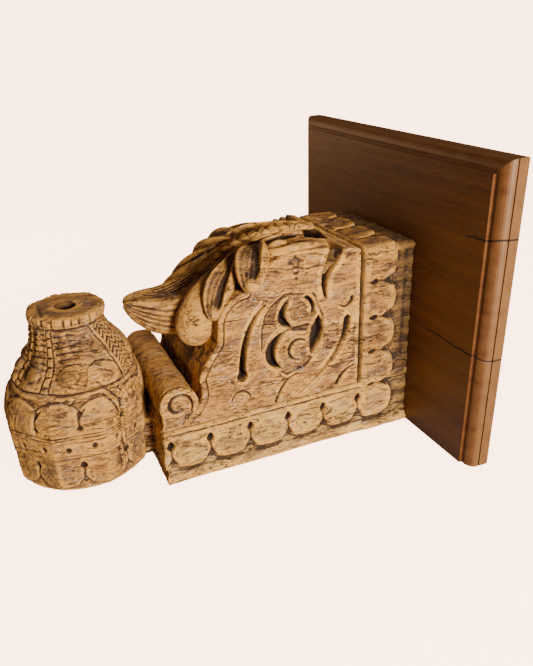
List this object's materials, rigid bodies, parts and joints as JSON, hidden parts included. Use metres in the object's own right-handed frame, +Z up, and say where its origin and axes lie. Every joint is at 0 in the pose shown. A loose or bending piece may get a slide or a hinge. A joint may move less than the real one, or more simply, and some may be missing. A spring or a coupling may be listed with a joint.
{
  "type": "carved wooden corbel",
  "caption": "Carved wooden corbel with an acanthus leaf, scrolled sides and a drilled pendant, fixed to a moulded backboard for hanging on a wall.",
  "frame": {"origin": "centre of the backboard's flat back face, where it meets the wall", "axes": "+Z up as pictured, with the corbel's flat bearing face down; +Y into the wall; the corbel stands out along -Y; X across"},
  "size_m": [0.284, 0.3437, 0.24],
  "materials": {
    "old_teak": "dry weathered hardwood, open grain, dark in the cuts",
    "satin_board": "satin waxed brown wood with paler worn edges"
  },
  "bodies": {
    "root": {"carved_corbel": "old_teak", "backboard": "satin_board"}
  },
  "joints": []
}
